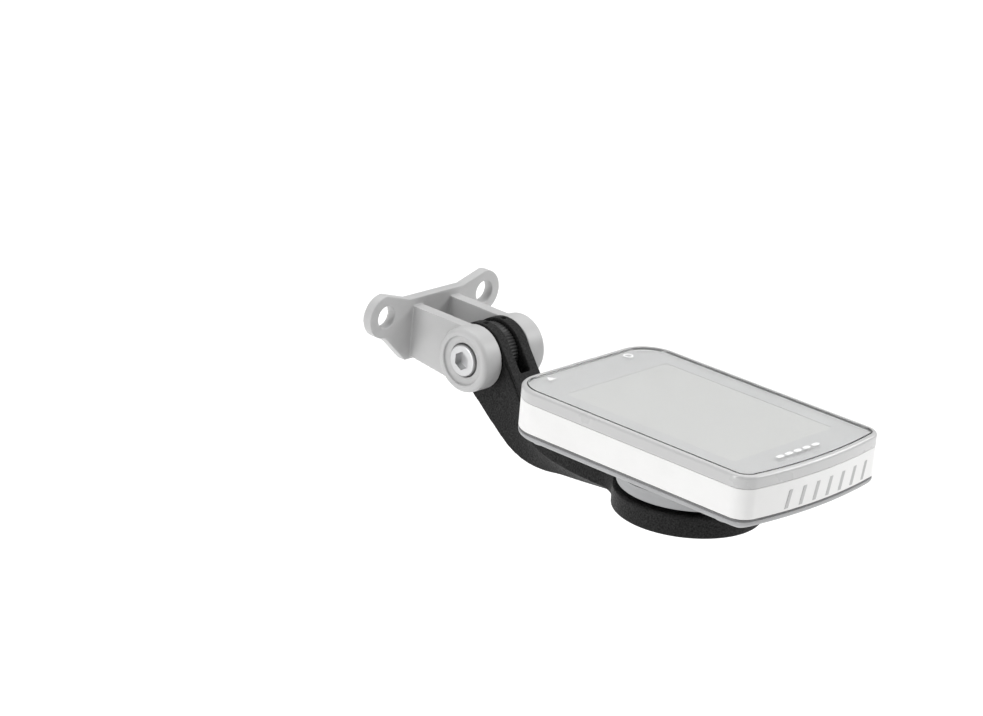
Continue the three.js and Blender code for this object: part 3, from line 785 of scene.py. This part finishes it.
def front_bezel():
    """The frame round the glass: a rounded outer edge, and a ledge under the glass's edge."""
    radius, small, inner_edge = 0.9, 0.15, 0.1
    low, ledge = BAND_TOP + SEAM, FACE - 1.6
    inside, glass_side = 3.4, 1.18
    profile = [(inside, low), *edge(small, low + small, small, -QUARTER, 0, 3),
               *edge(radius, FACE - radius, radius, 0, QUARTER, 8),
               *edge(glass_side - inner_edge, FACE - inner_edge, inner_edge, QUARTER, math.pi, 3),
               (glass_side, ledge), (inside, ledge)]
    return place(case_frame(profile), "front_bezel_frame", SOCKET, "computer", BEZEL,
                 ["front_bezel"])


def cover_glass():
    """The glass, with a broken edge below and a softly rounded one above."""
    side = 1.25
    levels = [(side + 0.1, FACE - GLASS_THICKNESS), (side, FACE - GLASS_THICKNESS + 0.1),
              (side, FACE - 0.3), (side + 0.05, FACE - 0.15), (side + 0.2, FACE - 0.04),
              (side + 0.45, FACE)]
    return place(case_body(levels), "cover_glass_lens", SOCKET, "computer", GLASS,
                 ["cover_glass"], smooth=45)


def border_print():
    """The opaque print under the glass, with a window for the display."""
    inset, low, high = 1.45, FACE - 1.56, FACE - 1.52
    sheet = case_body([(inset, low), (inset, high)])
    window = slab(rounded(2 * DISPLAY_HALF, DISPLAY_FRONT - DISPLAY_REAR, 1.2), 0, 30)
    cut(sheet, shift(window, 0, (DISPLAY_FRONT + DISPLAY_REAR) / 2, 0))
    return place(sheet, "border_print_film", SOCKET, "computer", BORDER)


def display():
    """The display's panel, a little larger than the window in the print over it."""
    width, length, radius, forward = 40, 55, 1.5, 1
    panel = shift(slab(rounded(width, length, radius), FACE - 3.1, FACE - 1.6), 0, forward, 0)
    bevel(panel, 0.2)
    return place(panel, "display_panel", SOCKET, "computer", DISPLAY, ["display_module"])


def glass_marks():
    """The printed marks: a ring and a triangle by two buttons, and a row of dashes in front."""
    low, high = FACE + 0.004, FACE + 0.02
    ring_spot, ring_outer, ring_inner = (-12.6, -32.2), 1.25, 0.8
    ring = disc(ring_outer, low, high, at=ring_spot)
    cut(ring, disc(ring_inner, low - 1, high + 1, at=ring_spot))
    triangle_spot, triangle_radius = (14.4, -32.2), 1.35
    triangle = slab(arc(0, 0, triangle_radius, -QUARTER, 5 * math.pi / 6, steps=2), low, high)
    shift(triangle, *triangle_spot, 0)
    row_x, row_y, pitch, dash = 1.5, 30.4, 3.1, rounded(2.2, 1.1, 0.4)
    dashes = [shift(slab(dash, low, high), row_x + i * pitch, row_y, 0) for i in (-2, -1, 0, 1, 2)]
    marks = merge([ring, triangle, *dashes])
    return place(marks, "glass_print_marks", SOCKET, "computer", ICON)


def mid_band():
    """The band round the case, with an opening for each of its three buttons."""
    length, height, depth = 8.4, 3.8, 8
    low, high = BAND_BOTTOM, BAND_TOP
    profile = [(WALL, low), *edge(0.2, low + 0.15, 0.15, -QUARTER, 0, 3),
               *edge(0.15, high - 0.1, 0.1, 0, QUARTER, 3), (WALL, high)]
    band = case_frame(profile)
    rear_openings = [shift(facing_rider(pill(length, height, depth)), side * BUTTON_X, REAR, BUTTON_Z)
                     for side in (1, -1)]
    left_opening = turn(pill(height, length, depth), QUARTER, "Y")
    cut(band, *rear_openings, shift(left_opening, -HALF_WIDTH, POWER_Y, BUTTON_Z))
    return place(band, "mid_band_moulding", SOCKET, "computer", BAND, ["mid_band"])


def slanted_bar(x):
    """One bar, flush with the bowed front, its foot and its top on a leaning line about x."""
    low, high, half, lean, depth = 10.1, 14.4, 0.55, 0.25, 0.5
    rings = []
    for z in (low, high):
        mid = x - (z - (low + high) / 2) * lean
        y = front_y(mid)
        rings.append([(mid - half, y - depth, z), (mid + half, y - depth, z),
                      (mid + half, y, z), (mid - half, y, z)])
    return solid("bar", rings)


def front_bars():
    """A row of plain slanted bars, inlaid in the front of the band."""
    count, pitch, row_x = 7, 4.6, -3.2
    bars = [slanted_bar(row_x + (i - (count - 1) / 2) * pitch) for i in range(count)]
    return place(merge(bars), "front_inlay_bars", SOCKET, "computer", MARK)


# The shallow rear shell's outside and inside, as (inset, height) from the middle outwards.
SHELL_OUTSIDE = [(12, 3.8), (8.6, 4.4), (5.4, 5.4), (2.6, 6.6), (0.9, 7.5), (0.25, 8.1), (0.05, 8.6)]
SHELL_INSIDE = [(12.5, 5.2), (9, 5.8), (5.4, 6.9), (2.8, 8), (1.8, 9.45)]


def shell_levels(rows, steps):
    """Even steps along the smooth curve through the shell's rows."""
    return [along(rows, i / steps) for i in range(steps + 1)]


def shell_skin():
    """The shell's outside, filled, up to the seal."""
    side, edge_break = 0.05, 0.15
    top = reach("case_seal", 0) + 0.1
    levels = shell_levels(SHELL_OUTSIDE, 30)
    return case_body([*levels, (side, top - edge_break), (side + edge_break, top)])


def shell_hollow():
    """The cutter for the shell's inside, straight-walled past its top."""
    return case_body([*shell_levels(SHELL_INSIDE, 16), (WALL, 12)])


def pedestal():
    """The round step under the shell, with a fillet where the two meet."""
    low, radius, fillet, fillet_low = PEDESTAL_LOW, PEDESTAL_RADIUS, 2, 2.9
    rise = [(radius + fillet - x, fillet_low + z) for x, z in arc(0, 0, fillet, 0, QUARTER, 8)]
    return turned([(radius - 0.5, low), (radius - 0.15, low + 0.15), (radius, low + 0.5), *rise], 144)


def usb_pad():
    """The raised pad round the USB opening."""
    width, length, radius, low, high = 16.4, 9.5, 1.5, 3.8, 8.4
    pad = slab(rounded(width, length, radius), low, high)
    return bevel(shift(pad, 0, REAR + 5.2, 0), 0.5, segments=4)


def usb_cuts():
    """The tunnel to the USB receptacle, and the cap's seat round its mouth."""
    width, height, half_length = 8.2, 3.2, 7
    seat_half, seat_depth, seat_low, seat_high = 6.2, 1.8, 2, 12
    tunnel = facing_rider(slab(rounded(width, height, 1), -half_length, half_length))
    seat = block((-seat_half, REAR - 1, seat_low), (seat_half, REAR + seat_depth, seat_high))
    return [shift(tunnel, 0, REAR + 2, USB_Z), seat]


def screw_spots(kind):
    """Where the four screws of a kind are, in X and Y."""
    return [(middle(f"{kind}_{i}", 0), middle(f"{kind}_{i}", 1)) for i in (1, 2, 3, 4)]


def posts(spots, radius, low, high, steps):
    """A round post or a hole's cutter at each spot."""
    return [disc(radius, low, high, at=spot, steps=steps) for spot in spots]


def rear_shell():
    spots = screw_spots("case_screw")
    boss, boss_low, boss_high = 2.9, 6, 8.4
    hole, counterbore, counterbore_floor = 1.2, 2.2, 7
    seat, seat_top, vent = 14.5, 2.7, 1.9
    vent_spot = (middle("pressure_vent", 0), middle("pressure_vent", 1))
    shell = add(shell_skin(), pedestal())
    cut(shell, shell_hollow())
    add(shell, usb_pad(), *posts(spots, boss, boss_low, boss_high, steps=64))
    cut(shell, disc(seat, 0, seat_top, steps=144), *usb_cuts(), disc(vent, 0, 6, at=vent_spot),
        *posts(spots, hole, 0, 12, steps=32),
        *posts(spots, counterbore, 0, counterbore_floor, steps=48))
    return place(shell, "rear_shell_moulding", SOCKET, "computer", SHELL,
                 ["rear_shell"], smooth=35)


def foot_neck(bottom):
    """The neck that stands in the socket's mouth, and the flange that is screwed to the shell."""
    neck, flange, flange_low, flange_high = 12.8, 14.2, 1.2, 2.4
    profile = [(neck - 0.3, bottom), (neck, bottom + 0.3), (neck, flange_low),
               (flange, flange_low), (flange, flange_high)]
    return turned(profile, 150)


def quarter_turn_foot():
    """The foot: its neck, its two tabs, a hollow underneath, and four counterbored screw holes."""
    bottom, spots = reach("quarter_turn_foot", 0), screw_spots("foot_screw")
    tab_inner, tab_outer, tab_half_angle, tab_top = 8, 15.1, 25, -1.6
    hollow, hollow_depth = 5.5, 0.8
    hole, counterbore, counterbore_top = 1.1, 2.1, -1.2
    foot = foot_neck(bottom)
    tabs = [bevel(sector(tab_inner, tab_outer, side, tab_half_angle, bottom + 0.02, tab_top), 0.2)
            for side in (0, 180)]
    add(foot, *tabs)
    cut(foot, disc(hollow, bottom - 1, bottom + hollow_depth, steps=96),
        *posts(spots, counterbore, -4, counterbore_top, steps=48), *posts(spots, hole, -4, 4, steps=32))
    return place(foot, "quarter_turn_foot_moulding", SOCKET, "computer", NYLON,
                 ["quarter_turn_foot"])


def small_screw(node, head, head_height, spot):
    """A pan-head screw standing on its head, with a hexagon socket."""
    shank, socket_flats, socket_depth = 0.8, 1.5, 0.7
    low, high = reach(node, 0), reach(node, 1)
    under_head = low + head_height
    dome = [(head - 0.5, low), (head - 0.15, low + 0.12), (head, low + 0.45)]
    screw = turned([*dome, (head, under_head), (shank, under_head), (shank, high)], 48)
    cut(screw, slab(hexagon(socket_flats), low - 1, low + socket_depth))
    shift(screw, *spot, 0)
    return place(screw, f"{node}_machined", SOCKET, "computer", STEEL, [node])


def screws():
    for kind, head, head_height in (("case_screw", 1.9, 1.3), ("foot_screw", 1.8, 1.2)):
        for i, spot in enumerate(screw_spots(kind), 1):
            small_screw(f"{kind}_{i}", head, head_height, spot)


# ---- buttons and cap -----------------------------------------------------------------------------
def button_shape():
    """A pill-shaped key along Z with a soft edge, three grip ridges and a flange behind."""
    length, width, top = 8, 3.4, 2.95
    ridge_half, ridge_reach, ridge_top = 0.22, 0.9, 3.0
    key = bevel(slab(rounded(length, width, 1.6), -0.3, top), 0.45, segments=4, angle=60)
    flange = slab(rounded(length + 1.2, width + 1.4, 1), -0.7, -0.1)
    ridges = [block((x - ridge_half, -ridge_reach, 2.8), (x + ridge_half, ridge_reach, ridge_top))
              for x in (-1.2, 0, 1.2)]
    return add(key, flange, *[bevel(ridge, 0.06, segments=2) for ridge in ridges])


def buttons():
    behind = WALL + 0.4
    for node, side in (("lap_button", -1), ("start_button", 1)):
        key = shift(facing_rider(button_shape()), side * BUTTON_X, REAR + behind, BUTTON_Z)
        place(key, f"{node}_key", SOCKET, node, BUTTON, [node])
    key = turn(facing_rider(button_shape()), -QUARTER, "Z")
    shift(key, behind - HALF_WIDTH, POWER_Y, BUTTON_Z)
    place(key, "power_button_key", SOCKET, "power_button", BUTTON, ["power_button"])


def usb_cap():
    """The rubber cap: a lid, a plug that enters the tunnel, and a tab to pull it by."""
    low, high = reach("usb_cap", 0), reach("usb_cap", 1)
    width, thickness, back = 12, 1.15, 1.5
    plug_width, plug_height, plug_back = 7.2, 2, 2.4
    tab_half = 2.5
    lid = facing_rider(slab(rounded(width, high - low, 1.2), 0, thickness))
    lid = bevel(shift(lid, 0, REAR + back, (low + high) / 2), 0.3, segments=4, angle=60)
    plug = facing_rider(slab(rounded(plug_width, plug_height, 0.8), 0, 1))
    shift(plug, 0, REAR + plug_back, USB_Z)
    tab = block((-tab_half, REAR + 0.05, low + 0.25), (tab_half, REAR + 0.6, low + 0.75))
    cap = add(lid, plug, bevel(tab, 0.15))
    return place(cap, "usb_cap_moulding", SOCKET, "usb_cap", RUBBER, ["usb_cap"])


# ---- inner parts, which keep their CAD shapes and get finishes -----------------------------------
INNER_FINISH = {
    "display_carrier": HUB_PAINTED_LIGHTER, "main_board": BOARD, "shield_can": STEEL, "gps_antenna": CERAMIC,
    "battery": POUCH, "buzzer": HUB_PAINTED_LIGHTER, "usb_receptacle": STEEL, "lap_switch": HUB_PAINTED_LIGHTER, "start_switch": HUB_PAINTED_LIGHTER,
    "power_switch": HUB_PAINTED_LIGHTER, "pressure_vent": RUBBER, "case_seal": BUTTON,
}


def finish_inner_parts():
    """Gives each inner part's CAD object its finish."""
    for node, material in INNER_FINISH.items():
        piece = frame["nodes"][node]
        piece.data.materials.clear()
        piece.data.materials.append(material)


# ---- stage ---------------------------------------------------------------------------------------
# The camera's angles in degrees, its distance and aim from the socket in millimetres, and its lens.
CAMERA = {"azimuth": 131.915, "elevation": 20.020, "roll": 4.799, "distance": 783.77, "lens": 125.29,
          "aim_right": -45.29, "aim_up": 29.72}
# What the lights point at, in metres: about the middle of the object.
LIGHTS_AIM = Vector((0, 0.06, -0.01))
# Soft lights, named as the camera sees them: place, width and height in metres, and power.
SOFT_LIGHTS = {
    "left_strip": ((0.75, -0.15, 0.25), (0.25, 0.9), 3.5),
    "right_strip": ((-0.6, 0.5, 0.45), (0.6, 0.3), 3.5),
}
# The floor, in metres: how far it lies below the object, half its width, and its thickness.
STAGE_DROP = 0.08
STAGE_HALF = 6
STAGE_THICKNESS = 0.01


def camera():
    azimuth, elevation, roll = (math.radians(CAMERA[key]) for key in ("azimuth", "elevation", "roll"))
    level = math.cos(elevation)
    back = Vector((math.sin(azimuth) * level, -math.cos(azimuth) * level, math.sin(elevation)))
    level_right = Vector((math.cos(azimuth), math.sin(azimuth), 0))
    level_up = back.cross(level_right)
    right = level_right * math.cos(roll) + level_up * math.sin(roll)
    up = level_up * math.cos(roll) - level_right * math.sin(roll)
    aim = SOCKET + (right * CAMERA["aim_right"] + up * CAMERA["aim_up"]) * MM
    data = bpy.data.cameras.new("camera")
    data.lens = CAMERA["lens"]
    data.clip_start, data.clip_end = 0.01, 50
    view = bpy.data.objects.new("camera", data)
    facing = Matrix((right, up, back)).transposed().to_4x4()
    view.matrix_world = Matrix.Translation(aim + back * CAMERA["distance"] * MM) @ facing
    bpy.context.scene.collection.objects.link(view)
    bpy.context.scene.camera = view


def point_at_object(light, spot):
    """Puts a light at a spot, turned towards the object."""
    light.location = spot
    light.rotation_mode = "QUATERNION"
    light.rotation_quaternion = (Vector(spot) - LIGHTS_AIM).to_track_quat("Z", "Y")
    bpy.context.scene.collection.objects.link(light)


def soft_light(name, spot, size, power):
    """A rectangular lamp, of a width and a height in metres."""
    data = bpy.data.lights.new(name, "AREA")
    data.shape = "RECTANGLE"
    data.size, data.size_y = size
    data.energy = power
    point_at_object(bpy.data.objects.new(name, data), spot)


def sky_light(name, spot, strength, spread):
    """A broad light from far away, spread over some degrees of the sky."""
    data = bpy.data.lights.new(name, "SUN")
    data.energy = strength
    data.angle = math.radians(spread)
    point_at_object(bpy.data.objects.new(name, data), spot)


def studio_world(seen, lit):
    """A white world that the camera sees brighter than it lights the object."""
    world = bpy.data.worlds.new("studio")
    world.use_nodes = True
    tree = world.node_tree
    ambient = tree.nodes["Background"]
    ambient.inputs["Strength"].default_value = lit
    ambient.inputs["Color"].default_value = (1, 1, 1, 1)
    backdrop = tree.nodes.new("ShaderNodeBackground")
    backdrop.inputs["Strength"].default_value = seen
    backdrop.inputs["Color"].default_value = (1, 1, 1, 1)
    path = tree.nodes.new("ShaderNodeLightPath")
    mix = tree.nodes.new("ShaderNodeMixShader")
    tree.links.new(path.outputs["Is Camera Ray"], mix.inputs["Fac"])
    tree.links.new(ambient.outputs["Background"], mix.inputs[1])
    tree.links.new(backdrop.outputs["Background"], mix.inputs[2])
    tree.links.new(mix.outputs["Shader"], tree.nodes["World Output"].inputs["Surface"])
    bpy.context.scene.world = world


def stage():
    """A pale floor below the object, clear of the arm at its lowest, and the lights."""
    top, half = CAD_BOX[0][2] - STAGE_DROP, STAGE_HALF
    floor = block((-half, -half, top - STAGE_THICKNESS), (half, half, top))
    floor.name = "floor"
    material, _ = new_material("pale_floor", grey(0.95), roughness=0.9, specular=0.1)
    floor.data.materials.append(material)
    studio_world(seen=1.0, lit=0.42)
    sky_light("sky", (-0.25, -0.1, 1.0), strength=2.0, spread=70)
    for name, (spot, size, power) in SOFT_LIGHTS.items():
        soft_light(name, spot, size, power)
    bpy.context.scene.view_settings.view_transform = "Standard"


camera()
stage()
mount_arm()
pivot_hub()
stem_bracket()
pivot_bolt()
pivot_nut()
front_bezel()
cover_glass()
border_print()
display()
glass_marks()
mid_band()
front_bars()
rear_shell()
quarter_turn_foot()
screws()
buttons()
usb_cap()
finish_inner_parts()
